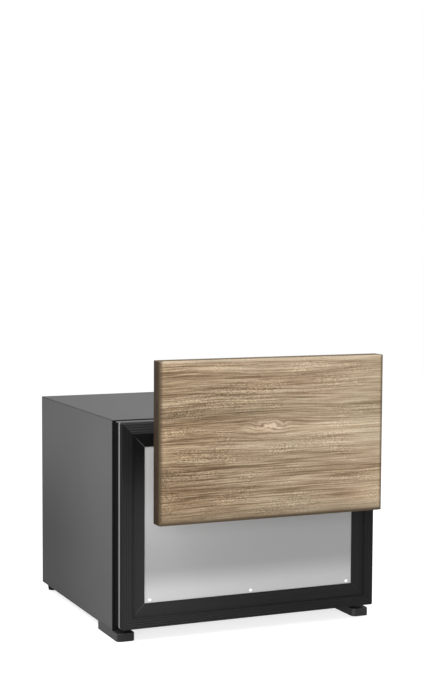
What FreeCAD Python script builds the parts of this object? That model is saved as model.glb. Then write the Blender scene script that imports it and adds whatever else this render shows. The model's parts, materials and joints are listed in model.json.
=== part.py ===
import FreeCAD, Part
import math
import os
from FreeCAD import Vector

# Drawer refrigerator for a hotel room, drawer closed, decor panel taken off and held in front of it.
# Lengths are in millimetres and angles in degrees. Z is up and the drawer opens towards minus Y.
# Depths are counted backwards from the front plane of the cabinet, heights from the floor.

# Cabinet
cabinet_width = 440.0
cabinet_height = 328.0
cabinet_depth = 361.0
sheet_steel = 1.0
side_foam = 28.0
rear_foam = 26.0
liner_wall = 2.0
rear_lip_width = 12.0
rear_cover_recess = 2.0
rear_cover_gap = 0.3

# Feet
foot_height = 13.0
front_foot_width = 29.5
front_foot_length = 94.8
front_foot_reach = 22.5
front_foot_round = 7.0
front_foot_step = 0.4
front_foot_edge = 0.8
rear_foot_top_radius = 10.0
rear_foot_bottom_radius = 8.0
rear_foot_side_inset = 16.0
rear_foot_rear_inset = 11.0
fixing_hole_radius = 2.75
foot_screw_depth_shares = (0.36, 0.84)
foot_screw_head_radius = 4.2
foot_screw_head_height = 3.0
foot_screw_radius = 2.0
foot_screw_bite = 6.0
foot_counterbore_depth = 6.0
foot_counterbore_gap = 0.5

# Drawer front, from the cabinet forwards: seal, inner door, sheet tray, frame
front_side_gap = 2.0
front_bottom_gap = 8.7
front_top_gap = 1.3
front_corner_round = 3.0
seal_gap = 0.3
gasket_depth = 8.0
gasket_width = 15.0
gasket_inset = 5.0
gasket_base_depth = 2.5
gasket_bulb_inset = 2.5
inner_door_depth = 12.2
inner_door_wall = 2.5
plug_side_gap = 6.0
plug_reach = 4.0
tray_depth = 8.4
tray_sheet = 0.8
frame_depth = 9.6
frame_width = 38.0
frame_edge_round = 1.2
rib_zone_width = 16.5
rib_count = 4
rib_groove_width = 1.2
rib_groove_depth = 0.6
land_drop = 4.0
lip_chamfer = 0.5
channel_wall = 2.5
channel_width = 23.0
channel_depth = 3.8
rebate_width = 10.0
front_sheet_thickness = 4.0
front_sheet_overlap = 9.5
rebate_clearance = 0.1
key_leg = 42.0
key_clearance = 0.2
rivet_head_radius = 2.8
rivet_head_height = 1.3
rivet_radius = 1.6
rivet_bulb_radius = 2.4
rivet_bulb_length = 3.0
rivet_edge_distance = 4.6
rivet_side_distance = 9.0

# Decor panel, taken off
panel_width = 374.4
panel_height = 244.6
panel_thickness = 25.0
panel_chamfer = 0.8
panel_float = 55.8
panel_lift = 136.4
panel_sideways = 2.2
pad_length = 300.0
pad_height = 20.0
pad_height_shares = (0.2, 0.8)

# Telescopic rails
rail_start_depth = 8.0
rail_rear_gap = 12.0
middle_rail_shortfall = 10.0
rail_depth = 12.7
rail_height = 45.5
rail_sheet = 1.2
rail_gap = 0.3
rail_lip = 4.0
outer_rail_depth = 9.5
inner_leg_height = 30.0
rail_axis_rise = 59.0
rail_screw_radius = 1.9
rail_screw_head_radius = 3.4
rail_screw_bite = 10.0
rail_screw_shares = (0.12, 0.88)

# Drawer behind the front
bracket_sheet = 1.5
bracket_height = 66.0
bracket_rear_gap = 8.0
bracket_flange = 30.0
tub_wall = 2.5
tub_height = 116.0
tub_rear_gap = 8.5
tub_floor_gap = 6.0
tub_corner_round = 6.0
divider_thickness = 2.0
divider_height = 72.0
divider_place_share = 0.42
drawer_screw_head_radius = 3.2
drawer_screw_head_height = 2.0
drawer_screw_radius = 1.6
drawer_screw_tip = 3.0
drawer_screw_height_share = 0.9
drawer_screw_shares = (0.25, 0.75)
flange_screw_height_shares = (0.2, 0.8)

# Thermoelectric cooling unit
cold_sink_size = 100.0
cold_base = 4.0
cold_fin_height = 18.0
cold_fin_count = 14
cold_fin_thickness = 1.5
cold_fan_size = 80.0
cold_fan_depth = 10.0
cold_fan_bore = 37.5
cold_fan_hub = 14.0
air_cover_size = 126.0
air_cover_ceiling_gap = 34.0
air_cover_wall = 2.0
air_slot_count = 9
air_slot_width = 4.0
air_slot_length = 76.0
air_outlet_count = 6
air_outlet_width = 8.0
air_outlet_depth = 12.0
cold_block_size = 44.0
peltier_size = 40.0
peltier_thickness = 3.6
hot_sink_size = 150.0
hot_base = 6.0
hot_fin_height = 28.0
hot_fin_count = 18
hot_fin_thickness = 2.0
hot_fan_size = 120.0
hot_fan_depth = 25.0
hot_fan_bore = 57.0
hot_fan_hub = 20.0
fan_blade_count = 7
fan_blade_thickness = 1.4
fan_blade_chord = 17.0
fan_blade_pitch = 32.0
fan_tip_gap = 1.0
fan_strut_width = 4.0
fan_strut_depth = 2.0
fan_shaft_radius = 1.5
fan_shaft_fit = 0.05
fan_end_gap = 0.5

# Rear cover
vent_slot_count = 13
vent_slot_width = 4.0
vent_slot_length = 104.0
cover_screw_height_shares = (0.08, 0.5, 0.92)
cover_screw_head_radius = 3.4
cover_screw_head_height = 1.6
cover_screw_radius = 1.7
cover_screw_tip = 3.0

# Power supply
supply_width = 100.0
supply_height = 90.0
supply_depth = 44.0
supply_side_gap = 27.0
supply_floor_gap = 29.0
supply_wall = 2.0
board_gap = 4.0
board_thickness = 1.6
board_margin = 3.0
transformer_size = 34.0
transformer_depth = 24.0
capacitor_radius = 9.0
capacitor_length = 20.0
standoff_radius = 3.0
inlet_body_width = 27.0
inlet_body_height = 20.0
inlet_body_depth = 22.0
inlet_flange_width = 33.0
inlet_flange_height = 26.0
inlet_flange_depth = 2.0
inlet_socket_width = 24.0
inlet_socket_height = 16.5
inlet_socket_depth = 20.0
inlet_socket_round = 3.0
blade_width = 2.0
blade_height = 4.0
blade_length = 13.0
blade_root = 1.0
blade_spacing = 7.0
blade_offset = 2.0
mains_lead_radius = 3.5
mains_lead_length = 62.0
fan_lead_radius = 1.8
fan_lead_inset = 10.0

# Light, thermostat and switch
light_side_gap = 37.0
light_width = 112.0
light_height = 24.0
light_start_depth = 34.0
light_depth = 48.0
light_wall = 2.0
lens_width = 60.0
lens_inset = 8.0
led_board_thickness = 1.6
thermostat_radius = 8.0
thermostat_depth = 12.0
thermostat_side_gap = 6.0
knob_radius = 9.5
knob_depth = 11.0
knob_skirt = 3.0
knob_grip_width = 5.0
knob_gap = 0.3
knob_shaft_radius = 3.0
knob_shaft_fit = 0.05
sensor_width = 8.0
sensor_height = 26.0
sensor_depth = 6.0
sensor_side = 92.0
reed_radius = 1.5
reed_length = 16.0
reed_side = 20.0
reed_start_depth = 8.0
magnet_width = 10.0
magnet_depth = 4.0

# One overrun for every cut, the full turn, and how thin the box round a straight edge is
overrun = 5.0
full_turn = 360.0
straight_share = 0.01

# Places that follow from the sizes
half_width = cabinet_width / 2
base = foot_height
top = base + cabinet_height
shell_inside = half_width - sheet_steel
shell_ceiling = top - sheet_steel
shell_floor = base + sheet_steel
cavity_half = shell_inside - side_foam - liner_wall
cavity_floor = shell_floor + side_foam + liner_wall
cavity_ceiling = shell_ceiling - side_foam - liner_wall
liner_half = cavity_half + liner_wall
liner_bottom = cavity_floor - liner_wall
liner_top = cavity_ceiling + liner_wall
cover_back = cabinet_depth - rear_cover_recess
cover_front = cover_back - sheet_steel
hot_fan_front = cover_front - hot_fan_depth
hot_fin_front = hot_fan_front - hot_fin_height
bulkhead_back = hot_fin_front - hot_base
bulkhead_front = bulkhead_back - sheet_steel
liner_back = bulkhead_front - rear_foam
cavity_depth = liner_back - liner_wall
cold_fin_back = cavity_depth - cold_base
cold_fan_back = cold_fin_back - cold_fin_height
cold_fan_front = cold_fan_back - cold_fan_depth
air_cover_front = cold_fan_front - air_cover_wall
cooler_height = cavity_ceiling - air_cover_ceiling_gap - air_cover_size / 2

supply_right = shell_inside - supply_side_gap
supply_left = supply_right - supply_width
supply_bottom = shell_floor + supply_floor_gap
supply_top = supply_bottom + supply_height
supply_back = bulkhead_back + supply_depth
inlet_side = (supply_left + supply_right) / 2
inlet_height = supply_top + mains_lead_length + inlet_body_height / 2

light_right = cavity_half - light_side_gap
light_left = light_right - light_width
light_back = light_start_depth + light_depth
light_bottom = cavity_ceiling - light_height
knob_x = light_right - thermostat_radius - thermostat_side_gap
knob_z = cavity_ceiling - light_height / 2

front_half = half_width - front_side_gap
front_bottom = base + front_bottom_gap
front_top = top - front_top_gap
front_middle = (front_bottom + front_top) / 2
inner_door_back = -gasket_depth
tray_back = inner_door_back - inner_door_depth
tray_front = tray_back - tray_depth
sheet_front = tray_front - front_sheet_thickness
frame_front = tray_front - frame_depth
land_front = frame_front + land_drop
plug_half = cavity_half - plug_side_gap
plug_bottom = cavity_floor + plug_side_gap
plug_top = cavity_ceiling - plug_side_gap
opening_half = front_half - frame_width
opening_bottom = front_bottom + frame_width
opening_top = front_top - frame_width

rail_length = cavity_depth - rail_start_depth - rail_rear_gap
middle_rail_length = rail_length - middle_rail_shortfall
rail_axis_height = cavity_floor + rail_axis_rise
rail_face = cavity_half - rail_depth
tub_half = rail_face - bracket_sheet
tub_front = plug_reach + bracket_sheet
tub_length = air_cover_front - tub_rear_gap - tub_front
bracket_length = rail_start_depth + rail_length - bracket_rear_gap - plug_reach
bracket_bottom = rail_axis_height - rail_height / 2

panel_back = frame_front - panel_float
panel_front = panel_back - panel_thickness
panel_middle = front_middle + panel_lift
pad_thickness = sheet_front - land_front

# The front plane of the cabinet stands where the whole object is centred on the origin
front_y = (-panel_front - cabinet_depth) / 2


def block(x_low, x_high, depth_low, depth_high, z_low, z_high):
    """Box between two sides, two depths and two heights."""
    corner = Vector(x_low, front_y + depth_low, z_low)
    return Part.makeBox(x_high - x_low, depth_high - depth_low, z_high - z_low, corner)


def even_block(half, depth_low, depth_high, z_low, z_high):
    """Box that is even about the middle of the object."""
    return block(-half, half, depth_low, depth_high, z_low, z_high)


def centred_block(x, z, width, height, depth_low, depth_high):
    """Box round a point of the front view."""
    return block(x - width / 2, x + width / 2, depth_low, depth_high, z - height / 2, z + height / 2)


def rod_deep(radius, x, z, depth_low, depth_high):
    """Round bar that runs backwards."""
    start = Vector(x, front_y + depth_low, z)
    return Part.makeCylinder(radius, depth_high - depth_low, start, Vector(0, 1, 0))


def rod_up(radius, x, depth, z_low, z_high):
    """Round bar that stands upright."""
    return Part.makeCylinder(radius, z_high - z_low, Vector(x, front_y + depth, z_low))


def rod_across(radius, x_low, x_high, depth, z):
    """Round bar that runs sideways."""
    start = Vector(x_low, front_y + depth, z)
    return Part.makeCylinder(radius, x_high - x_low, start, Vector(1, 0, 0))


def joined(shapes):
    """One solid made of touching or overlapping shapes."""
    whole = shapes[0]
    for shape in shapes[1:]:
        whole = whole.fuse(shape)
    return whole.removeSplitter()


def without(shape, tools):
    """A shape with several others cut away."""
    for tool in tools:
        shape = shape.cut(tool)
    return shape


def mirrored(shape):
    """The same shape on the other side of the object."""
    return shape.mirror(Vector(0, 0, 0), Vector(1, 0, 0))


def upright_edges(shape):
    """Edges of a shape that run straight up."""
    found = []
    for edge in shape.Edges:
        box = edge.BoundBox
        if max(box.XLength, box.YLength) < box.ZLength * straight_share:
            found.append(edge)
    return found


def deep_edges(shape):
    """Edges of a shape that run straight backwards."""
    found = []
    for edge in shape.Edges:
        box = edge.BoundBox
        if max(box.XLength, box.ZLength) < box.YLength * straight_share:
            found.append(edge)
    return found


def behind(edges, depth):
    """Those edges that lie behind a depth."""
    return [edge for edge in edges if edge.BoundBox.YMin > front_y + depth]


def in_front(edges, depth):
    """Those edges that lie in front of a depth."""
    return [edge for edge in edges if edge.BoundBox.YMax < front_y + depth]


def prism_along_depth(points, depth_low, length):
    """Straight bar with an outline of side and height, running backwards."""
    corners = [Vector(x, front_y + depth_low, z) for x, z in points]
    face = Part.Face(Part.makePolygon(corners + corners[:1]))
    return face.extrude(Vector(0, length, 0))


# Screws

def foot_screw_places():
    """Side and depth of every screw that holds a foot."""
    front_x = half_width - front_foot_width / 2
    rear_x = half_width - rear_foot_side_inset
    places = []
    for side in (-1, 1):
        for share in foot_screw_depth_shares:
            places.append((side * front_x, share * front_foot_length - front_foot_reach))
        places.append((side * rear_x, cabinet_depth - rear_foot_rear_inset))
    return places


def foot_screw(place):
    """Pan head screw driven up through a foot into the bottom of the cabinet."""
    x, depth = place
    head_bottom = foot_counterbore_depth - foot_screw_head_height
    head = rod_up(foot_screw_head_radius, x, depth, head_bottom, foot_counterbore_depth)
    shank = rod_up(foot_screw_radius, x, depth, head_bottom, shell_floor + foot_screw_bite)
    return joined([head, shank])


def foot_counterbore(place):
    """Room for the head of a foot screw."""
    x, depth = place
    radius = foot_screw_head_radius + foot_counterbore_gap
    return rod_up(radius, x, depth, -overrun, foot_counterbore_depth)


def rail_screw_places():
    """Depths of the countersunk screws of a rail."""
    return [rail_start_depth + share * rail_length for share in rail_screw_shares]


def rail_screw(depth):
    """Countersunk screw through the right outer rail into the wall of the cavity."""
    inner = cavity_half - rail_sheet
    tip = cavity_half + rail_screw_bite
    shank = rod_across(rail_screw_radius, inner, tip, depth, rail_axis_height)
    start = Vector(inner, front_y + depth, rail_axis_height)
    head = Part.makeCone(rail_screw_head_radius, rail_screw_radius, rail_sheet, start, Vector(1, 0, 0))
    return joined([head, shank])


def both_sides(shapes):
    """Shapes of the right side with their mirror images."""
    return shapes + [mirrored(shape) for shape in shapes]


def cover_screw_places():
    """Side and height of every screw of the rear cover."""
    x = shell_inside - rear_lip_width / 2
    span = shell_ceiling - shell_floor
    heights = [shell_floor + share * span for share in cover_screw_height_shares]
    return [(side * x, z) for side in (-1, 1) for z in heights]


def cover_screw(place):
    """Pan head screw through the rear cover into the lip of the shell."""
    x, z = place
    head = rod_deep(cover_screw_head_radius, x, z, cover_back, cover_back + cover_screw_head_height)
    shank = rod_deep(cover_screw_radius, x, z, cover_front - sheet_steel - cover_screw_tip, cover_back)
    return joined([head, shank])


# Cabinet

def cabinet_shell():
    """Folded sheet of the top and both sides, with inward lips for the rear cover."""
    outside = even_block(half_width, sheet_steel, cabinet_depth, base, top)
    inside = even_block(shell_inside, -overrun, cabinet_depth + overrun, base - overrun, shell_ceiling)
    lip_ring = even_block(shell_inside, cover_front - sheet_steel, cover_front, shell_floor, shell_ceiling)
    lip_hole = even_block(shell_inside - rear_lip_width, -overrun, cabinet_depth,
                          base - overrun, shell_ceiling - rear_lip_width)
    shell = joined([outside.cut(inside), lip_ring.cut(lip_hole)])
    return without(shell, [cover_screw(place) for place in cover_screw_places()])


def bottom_plate():
    """Sheet under the insulation, turned up at the rear for the cover."""
    plate = even_block(shell_inside, sheet_steel, cabinet_depth, base, shell_floor)
    lip_half = shell_inside - rear_lip_width
    lip = even_block(lip_half, cover_front - sheet_steel, cover_front, base, shell_floor + rear_lip_width)
    holes = [foot_screw(place) for place in foot_screw_places()]
    return without(joined([plate, lip]), holes)


def front_rim():
    """Steel ring on the front of the cabinet that the seal closes on."""
    outside = even_block(half_width, 0, sheet_steel, base, top)
    return outside.cut(even_block(cavity_half, -overrun, overrun, cavity_floor, cavity_ceiling))


def liner_outside():
    """Space that the cavity liner takes up in the insulation."""
    return even_block(liner_half, sheet_steel, liner_back, liner_bottom, liner_top)


def cold_duct():
    """Straight way through the rear wall for the cooling unit."""
    size = cold_block_size
    return centred_block(0, cooler_height, size, size, cavity_depth, bulkhead_back + overrun)


def inner_liner():
    """Plastic tray that lines the cold room."""
    cavity = even_block(cavity_half, -overrun, cavity_depth, cavity_floor, cavity_ceiling)
    screws = both_sides([rail_screw(depth) for depth in rail_screw_places()])
    return without(liner_outside(), [cavity, cold_duct()] + screws)


def reed_switch():
    """Contact in the ceiling insulation that the magnet of the drawer works."""
    middle = liner_top + reed_radius
    return rod_deep(reed_radius, reed_side, middle, reed_start_depth, reed_start_depth + reed_length)


def cabinet_foam():
    """Insulation between the sheets and the liner."""
    space = even_block(shell_inside, sheet_steel, bulkhead_front, shell_floor, shell_ceiling)
    screws = both_sides([rail_screw(depth) for depth in rail_screw_places()])
    screws += [foot_screw(place) for place in foot_screw_places()]
    return without(space, [liner_outside(), cold_duct(), reed_switch()] + screws)


def rear_bulkhead():
    """Sheet that closes the insulation towards the rear compartment."""
    sheet = even_block(shell_inside, bulkhead_front, bulkhead_back, shell_floor, shell_ceiling)
    return sheet.cut(cold_duct())


def front_foot():
    """Right front foot with the ledge that stands out under the drawer front."""
    ledge_top = base - front_foot_step
    outer = half_width
    inner = half_width - front_foot_width
    rear = front_foot_length - front_foot_reach
    body = block(inner, outer, -front_foot_reach, rear, 0, ledge_top)
    body = body.makeFillet(front_foot_round, upright_edges(body))
    top_edges = [edge for edge in body.Edges if edge.BoundBox.ZMin > ledge_top - front_foot_edge]
    body = body.makeFillet(front_foot_edge, top_edges)
    head = block(inner, outer, 0, rear, ledge_top - front_foot_edge, base)
    head = head.makeFillet(front_foot_round, behind(upright_edges(head), rear / 2))
    foot = joined([body, head])
    hole = rod_up(fixing_hole_radius, (outer + inner) / 2, -front_foot_reach / 2, -overrun, base + overrun)
    screws = [place for place in foot_screw_places() if 0 < place[0] and place[1] < rear]
    tools = [foot_counterbore(place) for place in screws] + [foot_screw(place) for place in screws]
    return without(foot, [hole] + tools)


def rear_foot():
    """Right rear foot, a short tapered plug."""
    x = half_width - rear_foot_side_inset
    depth = cabinet_depth - rear_foot_rear_inset
    centre = Vector(x, front_y + depth, 0)
    plug = Part.makeCone(rear_foot_bottom_radius, rear_foot_top_radius, base, centre)
    return without(plug, [foot_counterbore((x, depth)), foot_screw((x, depth))])


def rear_cover():
    """Sheet over the rear compartment, with vent slots and the hole of the power inlet."""
    half = shell_inside - rear_cover_gap
    low = shell_floor + rear_cover_gap
    sheet = even_block(half, cover_front, cover_back, low, shell_ceiling - rear_cover_gap)
    tools = [cover_screw(place) for place in cover_screw_places()]
    tools.append(centred_block(inlet_side, inlet_height, inlet_body_width, inlet_body_height,
                               cover_front - overrun, cover_back + overrun))
    span = hot_fan_bore * 2 - vent_slot_width
    for index in range(vent_slot_count):
        z = cooler_height + span * (index / (vent_slot_count - 1) - 0.5)
        reach = math.sqrt(max(hot_fan_bore ** 2 - (z - cooler_height) ** 2, vent_slot_width ** 2))
        length = min(vent_slot_length, 2 * reach)
        tools.append(centred_block(0, z, length, vent_slot_width,
                                   cover_front - overrun, cover_back + overrun))
    return without(sheet, tools)


# Cooling unit

def finned_sink(size, base_low, base_high, fin_low, fin_high, count, thickness):
    """Aluminium plate with upright fins on one side."""
    parts = [centred_block(0, cooler_height, size, size, base_low, base_high)]
    pitch = (size - thickness) / (count - 1)
    for index in range(count):
        x = index * pitch - (size - thickness) / 2
        parts.append(centred_block(x, cooler_height, thickness, size, fin_low, fin_high))
    return joined(parts)


def cold_sink():
    """Heat sink in the cold room, fins to the front."""
    return finned_sink(cold_sink_size, cold_fin_back, cavity_depth, cold_fan_back, cold_fin_back,
                       cold_fin_count, cold_fin_thickness)


def hot_sink():
    """Heat sink behind the rear wall, fins to the rear."""
    return finned_sink(hot_sink_size, bulkhead_back, hot_fin_front, hot_fin_front, hot_fan_front,
                       hot_fin_count, hot_fin_thickness)


def cold_block():
    """Aluminium block that carries the cold through the rear wall."""
    back = bulkhead_back - peltier_thickness
    return centred_block(0, cooler_height, cold_block_size, cold_block_size, cavity_depth, back)


def peltier_module():
    """Thermoelectric tile between the cold block and the hot sink."""
    front = bulkhead_back - peltier_thickness
    return centred_block(0, cooler_height, peltier_size, peltier_size, front, bulkhead_back)


def fan_frame(size, low, high, bore, hub):
    """Square fan housing with its struts, motor and shaft."""
    plate = centred_block(0, cooler_height, size, size, low, high)
    hollow = plate.cut(rod_deep(bore, 0, cooler_height, low - overrun, high + overrun))
    strut_front = high - fan_strut_depth
    motor = rod_deep(hub, 0, cooler_height, strut_front, high)
    wide = centred_block(0, cooler_height, size, fan_strut_width, strut_front, high)
    tall = centred_block(0, cooler_height, fan_strut_width, size, strut_front, high)
    shaft = rod_deep(fan_shaft_radius, 0, cooler_height, low + 2 * fan_end_gap, high)
    return joined([hollow, motor, wide, tall, shaft])


def fan_rotor(low, high, bore, hub):
    """Bladed rotor that turns on the shaft of its frame."""
    front = low + fan_end_gap
    back = high - fan_strut_depth - fan_end_gap
    tip = bore - fan_tip_gap
    centre = Vector(0, front_y + (front + back) / 2, cooler_height)
    blades = []
    for index in range(fan_blade_count):
        corner = Vector(-fan_blade_chord / 2, -fan_blade_thickness / 2, hub - fan_blade_thickness)
        blade = Part.makeBox(fan_blade_chord, fan_blade_thickness, tip - hub + fan_blade_thickness, corner)
        blade.rotate(Vector(0, 0, 0), Vector(0, 0, 1), fan_blade_pitch)
        blade.rotate(Vector(0, 0, 0), Vector(0, 1, 0), index * full_turn / fan_blade_count)
        blade.translate(centre)
        blades.append(blade)
    body = joined([rod_deep(hub, 0, cooler_height, front, back)] + blades)
    body = body.common(rod_deep(tip, 0, cooler_height, front, back))
    bearing = rod_deep(fan_shaft_radius + fan_shaft_fit, 0, cooler_height, front - overrun, back + overrun)
    return body.cut(bearing)


def cold_air_cover():
    """Plastic cover over the cold fan, with an inlet grille and air outlets above and below."""
    size = air_cover_size
    outside = centred_block(0, cooler_height, size, size, air_cover_front, cavity_depth)
    hollow = size - 2 * air_cover_wall
    tools = [centred_block(0, cooler_height, hollow, hollow, cold_fan_front, cavity_depth + overrun)]
    pitch = air_slot_length / (air_slot_count - 1)
    for index in range(air_slot_count):
        z = cooler_height + index * pitch - air_slot_length / 2
        reach = math.sqrt(max(cold_fan_bore ** 2 - (z - cooler_height) ** 2, air_slot_width ** 2))
        tools.append(centred_block(0, z, 2 * reach, air_slot_width,
                                   air_cover_front - overrun, cold_fan_front))
    outlet_pitch = hollow / air_outlet_count
    outlet_front = cold_fin_back - air_outlet_depth
    for index in range(air_outlet_count):
        x = (index + 0.5) * outlet_pitch - hollow / 2
        tools.append(centred_block(x, cooler_height, air_outlet_width, size + overrun,
                                   outlet_front, cold_fin_back))
    return without(outside, tools)


# Power supply

def power_inlet():
    """Mains socket on the rear cover, with three blades in its recess."""
    flange_back = cover_back + inlet_flange_depth
    body = centred_block(inlet_side, inlet_height, inlet_body_width, inlet_body_height,
                         flange_back - inlet_body_depth, cover_back)
    flange = centred_block(inlet_side, inlet_height, inlet_flange_width, inlet_flange_height,
                           cover_back, flange_back)
    floor = flange_back - inlet_socket_depth
    recess = centred_block(inlet_side, inlet_height, inlet_socket_width, inlet_socket_height,
                           floor, flange_back + overrun)
    recess = recess.makeFillet(inlet_socket_round, deep_edges(recess))
    socket = joined([body, flange]).cut(recess)
    blades = []
    for column, row in ((-1, -1), (0, 1), (1, -1)):
        x = inlet_side + column * blade_spacing
        z = inlet_height + row * blade_offset
        blades.append(centred_block(x, z, blade_width, blade_height,
                                    floor - blade_root, floor + blade_length))
    return joined([socket] + blades)


def power_supply_box():
    """Plastic housing of the power supply, open towards the sheet it is fixed to."""
    outside = block(supply_left, supply_right, bulkhead_back, supply_back, supply_bottom, supply_top)
    inside = block(supply_left + supply_wall, supply_right - supply_wall, bulkhead_back - overrun,
                   supply_back - supply_wall, supply_bottom + supply_wall, supply_top - supply_wall)
    return outside.cut(inside)


def power_board():
    """Circuit board on four posts, with its transformer and capacitor."""
    margin = supply_wall + board_margin
    left = supply_left + margin
    right = supply_right - margin
    low = supply_bottom + margin
    high = supply_top - margin
    front = bulkhead_back + board_gap
    back = front + board_thickness
    parts = [block(left, right, front, back, low, high)]
    for x in (left + standoff_radius, right - standoff_radius):
        for z in (low + standoff_radius, high - standoff_radius):
            parts.append(rod_deep(standoff_radius, x, z, bulkhead_back, front))
    lower = low + board_margin + transformer_size / 2
    upper = high - board_margin - capacitor_radius
    parts.append(centred_block(inlet_side, lower, transformer_size, transformer_size,
                               back, back + transformer_depth))
    parts.append(rod_deep(capacitor_radius, inlet_side, upper, back, back + capacitor_length))
    return joined(parts)


def mains_lead():
    """Short lead from the power inlet down to the power supply box."""
    depth = supply_back - supply_wall - mains_lead_radius
    return rod_up(mains_lead_radius, inlet_side, depth, supply_top, supply_top + mains_lead_length)


def fan_lead():
    """Short lead that rises from the power supply box and turns to the frame of the hot fan."""
    x = supply_left + fan_lead_inset
    depth = hot_fan_front + 2 * fan_lead_radius
    rise = rod_up(fan_lead_radius, x, depth, supply_top, cooler_height)
    bend = Part.makeSphere(fan_lead_radius, Vector(x, front_y + depth, cooler_height))
    across = rod_across(fan_lead_radius, hot_fan_size / 2, x, depth, cooler_height)
    return joined([rise, bend, across])


# Light, thermostat and switch

def light_housing():
    """Housing under the ceiling of the cold room for the lamp and the thermostat."""
    outside = block(light_left, light_right, light_start_depth, light_back,
                    light_bottom, cavity_ceiling)
    outside = outside.makeFillet(light_wall, upright_edges(outside))
    inside = block(light_left + light_wall, light_right - light_wall, light_start_depth + light_wall,
                   light_back - light_wall, light_bottom + light_wall, cavity_ceiling + overrun)
    shaft = rod_deep(knob_shaft_radius + knob_shaft_fit, knob_x, knob_z, light_start_depth - overrun,
                     light_start_depth + light_wall)
    return without(outside, [inside, light_lens(), shaft])


def over_lens(z_low, z_high):
    """Plate between two heights that covers the window for the lamp."""
    left = light_left + lens_inset
    front = light_start_depth + lens_inset
    return block(left, left + lens_width, front, light_back - lens_inset, z_low, z_high)


def light_lens():
    """Milky lens flush with the bottom of the light housing."""
    return over_lens(light_bottom, light_bottom + light_wall)


def led_board():
    """Small board with the lamp, on the ceiling above the lens."""
    return over_lens(cavity_ceiling - led_board_thickness, cavity_ceiling)


def thermostat():
    """Control inside the light housing that the knob turns."""
    front = light_start_depth + light_wall
    back = front + thermostat_depth
    body = rod_deep(thermostat_radius, knob_x, knob_z, front, back)
    bore = rod_deep(knob_shaft_radius + knob_shaft_fit, knob_x, knob_z, front - overrun, back - light_wall)
    return body.cut(bore)


def thermostat_knob():
    """Round knob with a skirt, a grip bar and its shaft."""
    back = light_start_depth - knob_gap
    front = back - knob_depth
    skirt = rod_deep(knob_radius, knob_x, knob_z, back - knob_skirt, back)
    grip = centred_block(knob_x, knob_z, knob_grip_width, 2 * knob_radius, front, back - knob_skirt)
    grip = grip.common(rod_deep(knob_radius, knob_x, knob_z, front, back))
    shaft_end = light_start_depth + thermostat_depth - light_wall
    shaft = rod_deep(knob_shaft_radius, knob_x, knob_z, back - knob_skirt, shaft_end)
    return joined([skirt, grip, shaft])


def temperature_sensor():
    """Sensor on the rear wall of the cold room."""
    return centred_block(-sensor_side, cooler_height, sensor_width, sensor_height,
                         cavity_depth - sensor_depth, cavity_depth)


# Rails

def channel_points(closed_side, open_side, half_height, sheet, lip):
    """Outline of a lipped channel, closed at one side and open at the other."""
    inward = math.copysign(sheet, open_side - closed_side)
    upper = half_height
    return [
        (closed_side, rail_axis_height - upper),
        (open_side, rail_axis_height - upper),
        (open_side, rail_axis_height - upper + lip),
        (open_side - inward, rail_axis_height - upper + lip),
        (open_side - inward, rail_axis_height - upper + sheet),
        (closed_side + inward, rail_axis_height - upper + sheet),
        (closed_side + inward, rail_axis_height + upper - sheet),
        (open_side - inward, rail_axis_height + upper - sheet),
        (open_side - inward, rail_axis_height + upper - lip),
        (open_side, rail_axis_height + upper - lip),
        (open_side, rail_axis_height + upper),
        (closed_side, rail_axis_height + upper),
    ]


def outer_rail():
    """Right rail member that is screwed to the wall of the cold room."""
    open_side = cavity_half - outer_rail_depth
    points = channel_points(cavity_half, open_side, rail_height / 2, rail_sheet, rail_lip)
    rail = prism_along_depth(points, rail_start_depth, rail_length)
    return without(rail, [rail_screw(depth) for depth in rail_screw_places()])


def middle_rail_sides():
    """Closed side, open side and half height of the middle member."""
    step = rail_sheet + rail_gap
    return cavity_half - step, cavity_half - outer_rail_depth + step, rail_height / 2 - step


def middle_rail():
    """Right rail member that travels half as far as the drawer."""
    closed_side, open_side, half = middle_rail_sides()
    points = channel_points(closed_side, open_side, half, rail_sheet, rail_lip)
    return prism_along_depth(points, rail_start_depth, middle_rail_length)


def inner_rail():
    """Right rail member that is fixed to the drawer, with a hat section."""
    closed_side, open_side, half = middle_rail_sides()
    brim = open_side + rail_sheet + rail_gap
    brim_half = half - rail_sheet - rail_gap
    leg = inner_leg_height / 2
    upper = [
        (rail_face, leg),
        (brim, leg),
        (brim, brim_half),
        (brim + rail_sheet, brim_half),
        (brim + rail_sheet, leg - rail_sheet),
        (rail_face + rail_sheet, leg - rail_sheet),
    ]
    points = [(x, rail_axis_height + z) for x, z in upper]
    points += [(x, rail_axis_height - z) for x, z in reversed(upper)]
    return prism_along_depth(points, rail_start_depth, rail_length)


# Drawer behind the front

def bracket_box(x_low, x_high, depth_low, depth_high):
    """Part of a bracket, as tall as the bracket."""
    return block(x_low, x_high, depth_low, depth_high, bracket_bottom, bracket_bottom + bracket_height)


def drawer_bracket():
    """Right steel angle that ties the rail and the tub to the inner door."""
    side = bracket_box(tub_half, rail_face, plug_reach, plug_reach + bracket_length)
    flange = bracket_box(tub_half - bracket_flange, tub_half, plug_reach, tub_front)
    return without(joined([side, flange]), drawer_screw_set())


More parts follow.
